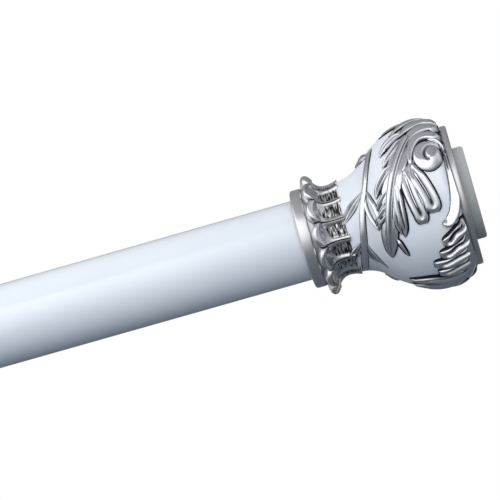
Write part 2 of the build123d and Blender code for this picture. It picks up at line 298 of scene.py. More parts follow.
def spinRing(bm, outline, steps, shadeAndWashTone=None, value=1.0):
    # turns a closed outline of (along, radius) points, in mm, about the rod's axis
    corners = [bm.verts.new((x * mm, r * mm, 0)) for x, r in outline]
    edges = [bm.edges.new((a, b)) for a, b in zip(corners, corners[1:] + corners[:1])]
    before = set(bm.verts) - set(corners)
    bmesh.ops.spin(
        bm, geom=corners + edges, cent=(0, 0, 0), axis=(1, 0, 0), angle=2 * pi, steps=steps, use_merge=True
    )
    made = [v for v in bm.verts if v not in before]
    bmesh.ops.recalc_face_normals(bm, faces=list(dict.fromkeys(f for v in made for f in v.link_faces)))
    if shadeAndWashTone:
        for v in made:
            v[shadeAndWashTone] = value


def rounded(low, high, inner, outer, edge):
    # outline of a ring from low to high along the rod, with eased outer corners
    cut = edge * (1 - sqrt(0.5))
    return [
        (low, inner), (low, outer - edge), (low + cut, outer - cut), (low + edge, outer),
        (high - edge, outer), (high - cut, outer - cut), (high, outer - edge), (high, inner),
    ]


def swapEnds(bm):
    # from the fixed end to the sliding one
    bmesh.ops.rotate(
        bm, verts=bm.verts, cent=(rodLength / 2, 0, 0), matrix=Matrix.Rotation(pi, 3, "Z")
    )


# the finial's form, in mm from its flange and degrees round the rod

finialForm = {
    "flangeStart": 3.2, "length": 51.3, "flangeRadius": 21.8, "flangeThickness": 2.4,
    "bulbRadius": 25.2, "bulbCentre": 10.6, "bulbFront": 4.6, "shoulderAngle": 43.0, "crestSlope": 0.4,
    "neckRadius": 14.2, "neckArc": 12.0, "collarRadius": 15.4, "collarWidth": 3.8,
    "socketRadius": 12.55, "socketDepth": 8.0, "seatRadius": 14.45, "seatDepth": 6.0, "holeRadius": 2.6,
    "whiteEnd": 36.9, "tailStart": 13.0, "tailEnd": 12.8, "bodySteps": 48, "pastStep": 0.001,
    "slopeReach": 0.05,
}
shoulder = radians(finialForm["shoulderAngle"])
shoulderPlace = finialForm["bulbCentre"] + finialForm["bulbRadius"] * sin(shoulder)
shoulderRadius = finialForm["bulbRadius"] * cos(shoulder)
coneDrop = shoulderRadius - finialForm["neckRadius"] - finialForm["neckArc"] * (1 - cos(shoulder))
arcStart = shoulderPlace + coneDrop / tan(shoulder)
neckPlace = arcStart + finialForm["neckArc"] * sin(shoulder)


def bodyRadius(place):
    form = finialForm
    if place < form["flangeThickness"]:
        return form["flangeRadius"]
    if place < form["bulbFront"]:
        rise = (place - form["flangeThickness"]) / (form["bulbFront"] - form["flangeThickness"])
        return form["flangeRadius"] + rise * (bodyRadius(form["bulbFront"]) - form["flangeRadius"])
    if place < shoulderPlace:
        return sqrt(form["bulbRadius"] ** 2 - (place - form["bulbCentre"]) ** 2)
    if place < arcStart:
        return shoulderRadius - (place - shoulderPlace) * tan(shoulder)
    if place < neckPlace:
        return form["neckRadius"] + form["neckArc"] - sqrt(form["neckArc"] ** 2 - (place - neckPlace) ** 2)
    return form["neckRadius"]


def crestRadius(place):
    # ground for the carving's crests, which run on over the chamfer behind the flange
    front = finialForm["bulbFront"]
    if place > front:
        return bodyRadius(place)
    return bodyRadius(front) - finialForm["crestSlope"] * (front - place)


def slopeAt(ground, place):
    reach = finialForm["slopeReach"]
    return (ground(place + reach) - ground(place - reach)) / (2 * reach)


def onBody(place, angle, height, ground=bodyRadius):
    tilt = atan(slopeAt(ground, place))
    reach = ground(place) + height * cos(tilt)
    along = finialForm["flangeStart"] + place - height * sin(tilt)
    return Vector((along, reach * cos(radians(angle)), reach * sin(radians(angle)))) * mm


def curvePoint(spine, share):
    # a smooth curve through the spine's points
    spot = share * (len(spine) - 1)
    i = min(int(spot), len(spine) - 2)
    f = spot - i
    p1, p2 = Vector(spine[i]), Vector(spine[i + 1])
    p0 = Vector(spine[i - 1]) if i else p1 * 2 - p2
    p3 = Vector(spine[i + 2]) if i + 2 < len(spine) else p2 * 2 - p1
    return 0.5 * (
        2 * p1 + (p2 - p0) * f + (2 * p0 - 5 * p1 + 4 * p2 - p3) * f**2 + (3 * p1 - p0 - 3 * p2 + p3) * f**3
    )


def ease(low, high, value):
    share = min(max((value - low) / (high - low), 0.0), 1.0)
    return share * share * (3 - 2 * share)


# sections across a carved strip: height and brightness, each 0 to 1, at w from -1 to 1 and a share along it;
# low brightness is painted shade and dark wash side is where the edge starts to fall, bright the edge heights
# from painted shade to silver, and the last number how dark a cut is painted, as shade and wash
scoop = {
    "side": 0.7, "gouge": 0.3, "opens": (0.02, 0.2), "closes": (0.97, 0.8), "depth": 0.5,
    "bright": (0.35, 0.95), "shadeAndWash": 0.92,
}
fin = {"side": 0.85, "crest": 0.95, "fall": 0.6, "bright": (0.3, 0.9)}
midrib = {
    "side": 0.85, "line": 0.62, "lineWidth": 0.15, "camber": 0.15, "depth": 0.3,
    "bright": (0.3, 0.9), "shadeAndWash": 0.97,
}
flame = {
    "side": 0.66, "wind": 0.3, "windStart": 0.25, "gouge": 0.36, "opens": (0.0, 0.12), "closes": (0.92, 0.76),
    "depth": 0.66, "bright": (0.66, 0.99), "shadeAndWash": 0.98,
}
scroll = {"low": 0.35, "lean": 0.65, "across": (-1.0, 0.9), "bright": (0.4, 0.85)}
bandBright, cordBright = (0.5, 0.92), (0.3, 0.9)
leaf = {
    "rim": 0.78, "rimWidth": 0.16, "veinWidth": 0.12, "side": 0.86, "ground": 0.5, "rimHeight": 0.5,
    "veinHeight": 0.3, "groundShade": 0.25, "veinShade": 0.7,
}
sheet = {"side": 0.8, "shade": 0.85}


def scoopSection(w, share):
    # two silver rims with a gouge between them painted dark as shade and wash, which stops short of the tip
    edge = sqrt(ease(1.0, scoop["side"], abs(w)))
    gouge = exp(-((w / scoop["gouge"]) ** 2)) * ease(*scoop["opens"], share) * ease(*scoop["closes"], share)
    return edge * (1 - scoop["depth"] * gouge), ease(*scoop["bright"], edge) * (1 - scoop["shadeAndWash"] * gouge)


def finSection(w, share):
    # two slopes that fall away from the midrib
    edge = sqrt(ease(1.0, fin["side"], abs(w)))
    return edge * (fin["crest"] - fin["fall"] * abs(w)), ease(*fin["bright"], edge)


def midribSection(w, share):
    # a cord between two incised lines, which are painted dark as shade and wash
    edge = sqrt(ease(1.0, midrib["side"], abs(w)))
    line = exp(-(((abs(w) - midrib["line"]) / midrib["lineWidth"]) ** 2))
    lift = edge * (1 - midrib["camber"] * w * w) * (1 - midrib["depth"] * line)
    return lift, ease(*midrib["bright"], edge) * (1 - midrib["shadeAndWash"] * line)


def flameSection(w, share):
    # as the scoop, with a broader and deeper gouge that winds, sides painted dark as shade and a rim round the
    # tip
    edge = sqrt(ease(1.0, flame["side"], abs(w)))
    wind = flame["wind"] * sin(2 * pi * (share - flame["windStart"]))
    gouge = exp(-(((w + wind) / flame["gouge"]) ** 2))
    gouge = gouge * ease(*flame["opens"], share) * ease(*flame["closes"], share)
    return edge * (1 - flame["depth"] * gouge), ease(*flame["bright"], edge) * (1 - flame["shadeAndWash"] * gouge)


def scrollSection(w, share):
    # a broad band that leans up to the flange
    edge = sqrt(max(0.0, 1 - w**4))
    return edge * (scroll["low"] + scroll["lean"] * ease(*scroll["across"], w)), ease(*scroll["bright"], edge)


def bandSection(w, share):
    edge = sqrt(max(0.0, 1 - w**4))
    return edge, ease(*bandBright, edge)


def roundSection(w, share):
    edge = sqrt(max(0.0, 1 - w * w))
    return edge, ease(*cordBright, edge)


def leafSection(w, share):
    # rims on both sides and a fine vein in the middle, with the ground between them painted darker as shade
    rim = exp(-(((abs(w) - leaf["rim"]) / leaf["rimWidth"]) ** 2))
    vein = exp(-((w / leaf["veinWidth"]) ** 2))
    edge = sqrt(ease(1.0, leaf["side"], abs(w)))
    lift = edge * (leaf["ground"] + leaf["rimHeight"] * rim + leaf["veinHeight"] * vein)
    return lift, edge * min(1.0, leaf["groundShade"] + rim + leaf["veinShade"] * vein)


def sheetSection(w, share):
    # the leaf's own ground between its ribs, painted a little darker as shade and darker still at its edges
    edge = ease(1.0, sheet["side"], abs(w))
    return edge, sheet["shade"] * edge


carving = {
    "along": 44, "across": 26, "copies": 2, "sink": 0.5, "step": 0.4, "outline": 0.42, "fineOutline": 0.12,
    "rootWidth": 0.3, "leastWidth": 0.02, "leastHeight": 0.4, "lowest": 2.3, "headingReach": 0.01,
    "longTip": 0.5, "bluntPower": 0.5, "pointedPower": 0.9, "stepSides": 0.95, "stepEnds": 0.01,
    "head": 0.92, "foot": 0.06, "endShade": (0.25, 0.9),
}


def taper(share, root, tip):
    # a strip's share of its full width; root and tip are the shares of its length that taper
    least = carving["rootWidth"]
    fullness = least + (1 - least) * ease(0.0, root, share) if root else 1.0
    if share > 1 - tip:
        power = carving["bluntPower"] if tip < carving["longTip"] else carving["pointedPower"]
        fullness *= max(0.0, 1 - ((share - 1 + tip) / tip) ** 2) ** power
    return fullness


def carveStrip(bm, shadeAndWashTone, outline, spine, halfWidth, height, section, root, tip):
    # a strip laid along the spine on the body, with a low outline painted dark as shade, and its ends painted
    # dark as shade
    along, sink, reach = carving["along"], carving["sink"], carving["headingReach"]
    made = bmesh.ops.create_grid(bm, x_segments=along, y_segments=carving["across"], size=1.0)["verts"]
    rows = sorted(made, key=lambda v: (round(v.co.y, 4), v.co.x))
    for v in made:
        share = (v.co.x + 1) / 2
        w = v.co.y
        here = curvePoint(spine, share)
        step = curvePoint(spine, min(share + reach, 1)) - curvePoint(spine, max(share - reach, 0))
        stretch = sqrt(1 + slopeAt(crestRadius, here[0]) ** 2)
        radius = bodyRadius(here[0])
        heading = Vector((step[0] * stretch, radians(step[1]) * radius)).normalized()
        fullness = taper(share, root, tip)
        margin = min(1.0, 2 * fullness)
        body = halfWidth * max(fullness, carving["leastWidth"])
        wide = body + outline * margin
        offset = w * wide
        place = max(here[0] + heading[1] * offset / stretch, carving["lowest"])
        angle = here[1] - heading[0] * offset / radius * 180 / pi
        lift, shade = section(max(-1.0, min(1.0, w * wide / body)), share)
        lift *= carving["leastHeight"] + (1 - carving["leastHeight"]) * fullness
        closing = sqrt(ease(1.0, carving["head"], share)) * ease(0.0, carving["foot"], share)
        rise = lift * closing
        if abs(w) < carving["stepSides"] and carving["stepEnds"] < share < 1 - carving["stepEnds"]:
            low = sink + outline / carving["outline"] * carving["step"] * margin
            rise = max(rise, low / (sink + height))
        v.co = onBody(place, angle, -sink).lerp(onBody(place, angle, height, crestRadius), rise)
        v[shadeAndWashTone] = shade * ease(*carving["endShade"], closing)
    # the underside spans from side to side, and then the two ends are closed
    near, far = rows[:along + 1], rows[-along - 1:]
    for corners in zip(near, near[1:], far[1:], far):
        bm.faces.new(corners)
    rim = [e for e in dict.fromkeys(e for v in made for e in v.link_edges) if e.is_boundary]
    bmesh.ops.holes_fill(bm, edges=rim, sides=0)


volute = {
    "centre": (7.4, 34.0), "half": (4.5, 5.6), "height": 1.7, "sink": 0.6, "facets": (72, 44),
    "heart": (6.2, 29.6), "heartSize": 1.8, "heartRise": 0.5,
    "hook": [
        (3.0, 29.0), (3.1, 33.5), (3.5, 36.8), (4.3, 38.8), (5.4, 40.0), (6.7, 40.0), (7.9, 38.0),
        (8.4, 34.7), (8.2, 31.7), (7.6, 29.8),
    ],
    "hookSteps": 60, "hookWidth": 0.62, "hookNarrows": 0.45, "hookDepth": 1.2,
    "shoulder": (0.0, 0.3), "bright": (0.06, 0.6), "shadeAndWash": 0.97,
}


def carveVolute(bm, shadeAndWashTone):
    # a round boss with a hooked groove that winds into its heart; its lower sides are painted dark as shade,
    # and the groove dark as shade and wash
    place, angle = volute["centre"]
    arc = radians(1) * bodyRadius(place)
    steps = volute["hookSteps"]
    hook = [curvePoint(volute["hook"], i / steps) for i in range(steps + 1)]
    hook = [Vector((p[0] - place, (p[1] - angle) * arc)) for p in hook]
    heart = Vector((volute["heart"][0] - place, (volute["heart"][1] - angle) * arc))
    around, down = volute["facets"]
    boss = bmesh.ops.create_uvsphere(bm, u_segments=around, v_segments=down, radius=1.0)["verts"]
    for v in boss:
        spot = Vector((v.co.x * volute["half"][0], v.co.y * volute["half"][1]))
        top = max(v.co.z, 0.0)
        onTop = ease(*volute["shoulder"], top)
        gaps = [(spot - p).length for p in hook]
        nearest = min(gaps)
        narrowed = 1 - volute["hookNarrows"] * gaps.index(nearest) / steps
        groove = exp(-((nearest / volute["hookWidth"] / narrowed) ** 2)) * onTop
        swell = exp(-(((spot - heart).length / volute["heartSize"]) ** 2)) * onTop
        height = top * volute["height"] + min(v.co.z, 0.0) * volute["sink"]
        height += volute["heartRise"] * swell - volute["hookDepth"] * groove
        v[shadeAndWashTone] = ease(*volute["bright"], top) * (1 - volute["shadeAndWash"] * groove)
        v.co = onBody(place + spot.x, angle + spot.y / arc, height, crestRadius)


# strips as (spine, half width, height, section, root, tip)
leafStrips = [
    # ground sheets
    ([(10.6, 58), (13.6, 48), (16.6, 36), (19.4, 24), (22.0, 8), (24.2, -10), (25.4, -26)],
     3.4, 0.55, sheetSection, 0.3, 0.5),
    ([(13.4, 34), (13.6, 24), (13.4, 12), (12.8, 2), (12.6, -6)], 3.4, 0.5, sheetSection, 0.3, 0.3),
    # lobes towards the neck
    ([(12.4, 63.6), (15.1, 61.5), (17.3, 58.6), (19.4, 55.0), (21.7, 49.5)],
     1.6, 1.35, scoopSection, 0.3, 0.5),
    ([(12.9, 57.0), (14.8, 52.3), (16.9, 47.8), (19.1, 43.4), (21.6, 37.6)],
     1.4, 1.3, scoopSection, 0.3, 0.5),
    ([(18.0, 36), (20.0, 33.2), (22.3, 28.5), (24.4, 22.6), (25.8, 15.5)],
     1.35, 1.15, scoopSection, 0.3, 0.6),
    ([(20.2, 21), (22.1, 15.7), (23.9, 11.2), (25.6, 6.8), (27.0, 1.0)],
     1.45, 1.15, scoopSection, 0.3, 0.6),
    ([(21.8, 8.6), (23.5, 4.3), (25.2, 0.4), (26.8, -4), (28.0, -10)],
     1.45, 1.15, scoopSection, 0.3, 0.6),
    # fingers towards the flange
    ([(13.2, 33), (12.7, 25), (11.9, 18.4), (11.0, 11.5), (10.3, 4.8), (10.0, -0.7), (10.1, -7)],
     2.55, 1.45, scoopSection, 0.35, 0.16),
    ([(15.4, 30), (15.5, 22.6), (15.3, 15.4), (15.0, 7.9), (14.5, 0.5), (14.0, -5.7), (13.9, -12.6)],
     2.1, 1.4, scoopSection, 0.35, 0.16),
    ([(18.2, 26), (18.8, 18), (19.2, 10), (19.5, 2), (19.6, -6), (19.7, -12.5), (20.5, -20)],
     1.5, 1.15, scoopSection, 0.4, 0.5),
    ([(20.4, 10), (20.9, 0), (21.3, -9), (20.8, -17.5)], 1.1, 1.05, scoopSection, 0.4, 0.7),
    ([(22.9, -18.5), (22.2, -24), (21.4, -30), (20.6, -36)], 0.7, 0.9, roundSection, 0.3, 0.8),
    # the pointed end and the midrib
    ([(21.4, 12), (22.6, 2), (23.7, -8), (24.7, -18), (25.5, -28), (26.0, -39.5)],
     2.8, 1.1, finSection, 0.5, 0.5),
    ([(10.4, 58.4), (12.4, 53), (14.1, 47), (16.3, 38.4), (18.3, 29.6), (20.1, 20.2), (21.6, 10.6),
      (22.9, 0.6), (24.0, -10), (25.0, -21), (25.7, -31), (26.1, -38)],
     1.2, 1.75, midribSection, 0.1, 0.5),
]
scrollStrips = [
    # strands over the top
    ([(17.2, 68), (14.3, 74), (12.0, 78.5), (9.4, 84), (7.0, 85.5), (4.8, 81)],
     1.5, 1.4, bandSection, 0.4, 0.5),
    ([(15.6, 57.5), (13.2, 63.5), (11.4, 67.3), (9.5, 70.6), (7.3, 73), (5.3, 73), (3.8, 71.5), (2.8, 68)],
     1.95, 1.35, bandSection, 0.4, 0.3),
    ([(16.3, 38.6), (14.1, 47), (11.9, 54), (9.6, 59.3), (7.0, 62), (4.6, 62.3), (2.9, 58)],
     2.2, 1.35, bandSection, 0.7, 0.2),
    ([(13.2, 29.5), (12.7, 36.2), (12.0, 42.4), (10.8, 47.7), (9.4, 51), (7.3, 52.4), (5.4, 51.8),
      (3.9, 50), (2.8, 46.5)],
     1.8, 1.3, bandSection, 0.5, 0.2),
    ([(6.6, 48.5), (4.9, 46.4), (3.6, 43.6), (2.9, 39.6), (2.7, 34)], 0.65, 1.3, roundSection, 0.3, 0.3),
    # flame lobes beside the flange, and the band behind them
    ([(2.8, -17.5), (3.9, -22.4), (5.8, -25.5), (7.9, -27.9), (10.4, -28.6)],
     2.05, 1.55, flameSection, 0.25, 0.3),
    ([(2.8, -28), (4.1, -33.4), (6.3, -35.8), (9.0, -37.4), (12.2, -37)],
     2.0, 1.55, flameSection, 0.25, 0.3),
    ([(2.9, -38), (4.5, -42.3), (7.1, -44.6), (10.6, -45.4), (14.8, -44.4)],
     2.0, 1.55, flameSection, 0.25, 0.3),
    ([(3.2, -46.5), (4.9, -51.2), (7.7, -53.8), (10.8, -54.6), (14.2, -54)],
     2.0, 1.45, flameSection, 0.25, 0.3),
    ([(4.4, -56), (7.0, -61.3), (11.1, -64), (16.2, -62), (23.4, -66)],
     2.1, 1.45, flameSection, 0.25, 0.45),
    ([(6.6, -66), (10.2, -72), (15.0, -73), (19.0, -73), (22.6, -76)],
     1.9, 1.35, flameSection, 0.25, 0.45),
    ([(2.9, -14), (2.7, -27), (2.7, -42), (3.3, -54), (5.0, -63), (8.0, -72), (12.0, -81), (16.4, -90),
      (21.0, -96)],
     1.6, 1.3, bandSection, 0.3, 0.4),
]
fineStrips = [
    # the scroll along the flange
    ([(2.5, 41), (2.4, 33.6), (2.4, 26), (2.4, 18), (2.5, 10), (2.8, 2.5), (3.4, -4), (4.4, -10),
      (5.9, -14.3), (7.3, -15.3), (8.0, -12.8)],
     1.75, 1.75, scrollSection, 0.75, 0.2),
    # the stem round the neck, and its small leaves
    ([(23.3, 78), (25.2, 60), (26.9, 45), (28.5, 31), (30.0, 19), (31.4, 3), (32.8, -20), (34.1, -44),
      (35.6, -84)],
     1.15, 0.75, bandSection, 0.1, 0.1),
    ([(28.9, 33), (32.1, 26), (34.9, 16), (37.9, 3)], 1.9, 0.7, leafSection, 0.6, 0.7),
    ([(28.3, 32), (27.4, 19), (26.7, 9), (26.4, -1), (26.8, -11)], 0.9, 1.0, roundSection, 0.3, 0.4),
    ([(28.9, 29), (29.2, 14), (28.7, 2), (27.2, -12)], 0.7, 0.9, roundSection, 0.3, 0.4),
    ([(32.8, -18), (32.2, -34), (30.4, -47), (27.8, -57)], 1.5, 0.9, leafSection, 0.6, 0.7),
    ([(33.2, -22), (35.6, -31), (37.2, -40), (37.8, -53)], 1.7, 0.9, leafSection, 0.6, 0.7),
    ([(24.6, 66), (27.2, 76), (30.0, 90)], 1.5, 1.0, leafSection, 0.5, 0.6),
]


def buildCarving():
    bm = bmesh.new()
    shadeAndWashTone = bm.verts.layers.float.new("shadeAndWashTone")
    for strip in leafStrips + scrollStrips:
        carveStrip(bm, shadeAndWashTone, carving["outline"], *strip)
    for strip in fineStrips:
        carveStrip(bm, shadeAndWashTone, carving["fineOutline"], *strip)
    carveVolute(bm, shadeAndWashTone)
    bmesh.ops.recalc_face_normals(bm, faces=bm.faces)
    copies = carving["copies"]
    bmesh.ops.spin(
        bm, geom=bm.verts[:] + bm.edges[:] + bm.faces[:], cent=(0, 0, 0), axis=(1, 0, 0),
        angle=2 * pi * (copies - 1) / copies, steps=copies - 1, use_duplicate=True,
    )
    return bm


crown = {
    "petals": 14, "fill": 0.985, "along": 144, "across": 20, "wall": 0.5, "rim": 0.45, "rimSide": (0.6, 0.95),
    "dish": 0.4, "scallop": 1.5, "lip": (0.38, 0.63), "lipDrop": 1.3,
    "bowlStart": 0.15, "bowlEnd": 0.45, "bowlWidth": 0.8, "bowlSide": (0.72, 1.0), "bowlTone": 0.75,
    "ribs": 58.0, "ribHeight": 0.2, "ribEnd": 0.41, "ribFade": 0.1, "ribAcross": 1.4, "ribShift": 7.3,
    "ribSwing": 1.9, "ribTone": 0.34, "ribContrast": 0.6,
    "brink": 0.95, "brinkWidth": 0.12, "brinkEnd": (0.4, 0.5), "brinkShade": 0.4,
    "sideShade": 0.84, "rootShade": 0.95,
    "spine": [
        (36.5, 14.5), (38.4, 13.9), (40.2, 13.7), (42.0, 14.1), (43.4, 15.2), (44.4, 16.7), (45.2, 18.2),
        (46.0, 18.9), (46.9, 18.3), (47.4, 16.7), (47.6, 15.2),
    ],
    "core": [(36.3, 12.7), (36.3, 13.6), (38.5, 12.9), (42, 12.9), (45, 14.4)],
    "coreEnd": (15.2, 12.7), "coreOverlap": 0.2, "coreTone": 0.45,
}


def carvePetal(bm, shadeAndWashTone, number):
    # a bowl with uneven ribs across it, raised rims and a thick rolled lip; the bowl, the low ribs, the bowl's
    # brink, the sides and the root are painted darker as shade
    petal = bmesh.ops.create_grid(
        bm, x_segments=crown["along"], y_segments=crown["across"], size=1.0
    )["verts"]
    bowl = crown["bowlEnd"] - crown["bowlStart"]
    for v in petal:
        share = (v.co.x + 1) / 2
        w = v.co.y
        place, radius = curvePoint(crown["spine"], share)
        lip = ease(*crown["lip"], share)
        reach = sqrt((w / crown["bowlWidth"]) ** 2 + (max(0.0, share - crown["bowlStart"]) / bowl) ** 2)
        inside = 1 - ease(*crown["bowlSide"], reach)
        ribbed = inside * ease(crown["ribEnd"], crown["ribEnd"] - crown["ribFade"], share)
        spot = Vector((crown["ribs"] * share, crown["ribAcross"] * w, crown["ribShift"] * number))
        wave = crown["ribSwing"] * noise.noise(spot)
        place -= crown["scallop"] * w * w * lip
        radius += crown["rim"] * ease(*crown["rimSide"], abs(w)) * (1 - lip) - crown["lipDrop"] * w**4 * lip
        radius += crown["ribHeight"] * wave * ribbed - crown["dish"] * inside
        turn = (2 * number - crown["fill"] * w) * pi / crown["petals"]
        v.co = Vector((finialForm["flangeStart"] + place, radius * cos(turn), radius * sin(turn))) * mm
        brink = exp(-(((reach - crown["brink"]) / crown["brinkWidth"]) ** 2))
        brink = brink * (1 - ease(*crown["brinkEnd"], share))
        tone = (
            (crown["ribTone"] + crown["ribContrast"] * wave) * ribbed + (inside - ribbed) * crown["bowlTone"]
            + (1 - inside) * (1 - crown["brinkShade"] * brink)
        )
        v[shadeAndWashTone] = tone * ease(1.0, crown["sideShade"], abs(w)) * ease(1.0, crown["rootShade"], share)
    faces = list(dict.fromkeys(f for v in petal for f in v.link_faces))
    under = bmesh.ops.extrude_face_region(bm, geom=faces, use_keep_orig=True)["geom"]
    # the wall under the petal is painted black as shade
    for v in [g for g in under if isinstance(g, bmesh.types.BMVert)]:
        v.co -= Vector((0, v.co.y, v.co.z)).normalized() * crown["wall"] * mm
        v[shadeAndWashTone] = 0.0


def buildCrown():
    # the petals, and the core behind them, painted dark as shade
    bm = bmesh.new()
    shadeAndWashTone = bm.verts.layers.float.new("shadeAndWashTone")
    for number in range(crown["petals"]):
        carvePetal(bm, shadeAndWashTone, number)
    bmesh.ops.recalc_face_normals(bm, faces=bm.faces)
    start = finialForm["flangeStart"]
    back = start + finialForm["length"] - finialForm["collarWidth"] + crown["coreOverlap"]
    outline = [(start + x, r) for x, r in crown["core"]] + [(back, r) for r in crown["coreEnd"]]
    spinRing(bm, outline, smallSteps, shadeAndWashTone, crown["coreTone"])
    return bm


rings = {"collarEdge": 0.7, "flangeEdge": 0.6, "tone": 0.85}


def buildRings():
    # the collar and the flange
    bm = bmesh.new()
    shadeAndWashTone = bm.verts.layers.float.new("shadeAndWashTone")
    form = finialForm
    start = form["flangeStart"]
    end = start + form["length"]
    back = end - form["collarWidth"]
    front = start + form["flangeThickness"]
    collar = rounded(back, end, form["socketRadius"], form["collarRadius"], rings["collarEdge"])
    flange = rounded(start, front, form["seatRadius"], form["flangeRadius"], rings["flangeEdge"])
    for outline in (collar, flange):
        spinRing(bm, outline, wideSteps, shadeAndWashTone, rings["tone"])
    return bm


def buildWhiteBody():
    bm = bmesh.new()
    form = finialForm
    start = form["flangeStart"]
    low, high = form["flangeThickness"], form["whiteEnd"]
    outline = [
        (start + form["seatDepth"], form["holeRadius"]), (start + form["seatDepth"], form["seatRadius"]),
        (start + low, form["seatRadius"]),
    ]
    for i in range(form["bodySteps"] + 1):
        place = low + (high - low) * i / form["bodySteps"]
        outline.append((start + place, bodyRadius(place + form["pastStep"])))
    end = start + form["length"] - form["socketDepth"]
    outline += [(start + high, form["tailStart"]), (end, form["tailEnd"]), (end, form["holeRadius"])]
    spinRing(bm, outline, wideSteps)
    return bm


ends = [
    ("Fixed", "inner", "finial_fixed", "wall_pad_fixed", False),
    ("Sliding", "outer", "finial_sliding", "wall_pad_sliding", True),
]
finialPieces = [
    ("finialBody", buildWhiteBody, finialWhite), ("finialCarving", buildCarving, silverLeaf),
    ("finialCrown", buildCrown, petalSilver), ("finialRings", buildRings, turnedSilver),
]
for label, body, finialNode, padNode, swapped in ends:
    for name, build, material in finialPieces:
        bm = build()
        if swapped:
            swapEnds(bm)
        newPiece(name + label, bm, material, body, "finial", finialNode)
    print("finial", label.lower(), "carved")


# wall pads, with a low ring sunk in the face
pad = {
    "radius": 14.4, "depth": 7.2, "edge": 0.7, "edgeCut": (0.2, 0.25), "ringOuter": 11.5, "ringInner": 10.3,
    "ringDepth": 0.35, "ringSlope": 0.3, "hollow": 5.0, "hollowDepth": 3.4, "pole": 0.05, "merge": 0.02,
}


def buildPad():
    bm = bmesh.new()
    depth, radius, slope, pole = pad["depth"], pad["radius"], pad["ringSlope"], pad["pole"]
    cutIn, cutDown = pad["edgeCut"]
    hollowFloor = depth - pad["hollowDepth"]
    outline = [
        (depth, pad["hollow"]), (depth, radius), (pad["edge"], radius), (cutIn, radius - cutDown),
        (0, radius - pad["edge"]), (0, pad["ringOuter"]), (pad["ringDepth"], pad["ringOuter"] - slope),
        (pad["ringDepth"], pad["ringInner"] + slope), (0, pad["ringInner"]), (0, pole),
        (hollowFloor, pole), (hollowFloor, pad["hollow"]),
    ]
    spinRing(bm, outline, smallSteps)
    bmesh.ops.remove_doubles(bm, verts=bm.verts, dist=pad["merge"] * mm)
    return bm


for label, body, finialNode, padNode, swapped in ends:
    bm = buildPad()
    if swapped:
        swapEnds(bm)
    newPiece("wallPad" + label, bm, padRubber, body, "pad_rubber", padNode)


# tubes and the ring at the outer tube's mouth
tubes = {"wall": 0.8, "edge": 0.15}
mouth = {"bore": 11.1, "sleeve": 11.65, "lip": 1.5, "edge": 0.5}


def buildTube(node):
    bm = bmesh.new()
    low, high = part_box(node)
    x0, x1 = low[0] / mm, high[0] / mm
    outer = high[1] / mm
    inner = outer - tubes["wall"]
    edge = tubes["edge"]
    outline = [
        (x0, inner), (x0, outer - edge), (x0 + edge, outer), (x1 - edge, outer), (x1, outer - edge), (x1, inner)
    ]
    spinRing(bm, outline, wideSteps)
    return bm


def buildMouthRing():
    bm = bmesh.new()
    low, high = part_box("mouth_ring")
    x0, x1 = low[0] / mm, high[0] / mm
    outline = rounded(x0, x0 + mouth["lip"], mouth["bore"], high[1] / mm, mouth["edge"])[:-1]
    outline += [(x0 + mouth["lip"], mouth["sleeve"]), (x1, mouth["sleeve"]), (x1, mouth["bore"])]
    spinRing(bm, outline, wideSteps)
    return bm


for name, node, body in (("outerTube", "outer_tube", "outer"), ("innerTube", "inner_tube", "inner")):
    newPiece(name, buildTube(node), tubeEnamel, body, "tube_white", node)
newPiece("mouthRing", buildMouthRing(), trimMoulding, "outer", "trim_white", "mouth_ring")
print("tubes, mouth ring and pads made")


# the press spring, which shortens as the shaft's head comes back on it, built here at its solid's length
spring = {"coil": 7.6, "wire": 1.8, "wireSides": 14, "turns": 8, "steps": 32, "travel": 12.0}


def buildSpring(low, high):
    bm = bmesh.new()
    start = low[0] + spring["wire"] / 2 * mm
    run = high[0] - low[0] - spring["wire"] * mm
    wire = bmesh.ops.create_circle(
        bm, cap_ends=False, segments=spring["wireSides"], radius=spring["wire"] / 2 * mm
    )["verts"]
    bmesh.ops.translate(bm, verts=wire, vec=(start, spring["coil"] * mm, 0))
    count = spring["turns"] * spring["steps"]
    bmesh.ops.spin(
        bm, geom=bm.verts[:] + bm.edges[:], cent=(0, 0, 0), axis=(1, 0, 0), angle=2 * pi * spring["turns"],
        steps=count, dvec=(run / count, 0, 0),
    )
    bmesh.ops.holes_fill(bm, edges=[e for e in bm.edges if e.is_boundary], sides=0)
    bmesh.ops.recalc_face_normals(bm, faces=bm.faces)
    return bm


low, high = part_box("press_spring")
coil = newPiece("pressSpring", buildSpring(low, high), plainSteel, "inner", "steel", "press_spring")
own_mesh(coil)

# the other pieces inside keep their solids
innerFinish = {
    plainSteel: [
        "pad_plate_fixed", "pad_plate_sliding", "draw_screw_fixed", "draw_screw_sliding", "lock_shaft",
        "stop_nut",
    ],
    innerMoulding: [
        "tube_plug_fixed", "tube_plug_sliding", "reducer_bush", "spring_seat", "guide_plug", "grip_collet",
        "wedge_nut",
    ],
}
for material, names in innerFinish.items():
    for name in names:
        nodes[name].data.materials.clear()
        nodes[name].data.materials.append(material)
print("spring made, inner pieces finished")


# camera: distance and frame width in metres, slope in degrees, the rest in mm
shot = {
    "distance": 0.9, "frameWidth": 0.1531, "nearest": 0.01, "slope": 15.88,
    "facing": 3.2, "fromFlange": 67.7, "aboveAxis": 1.5,
}


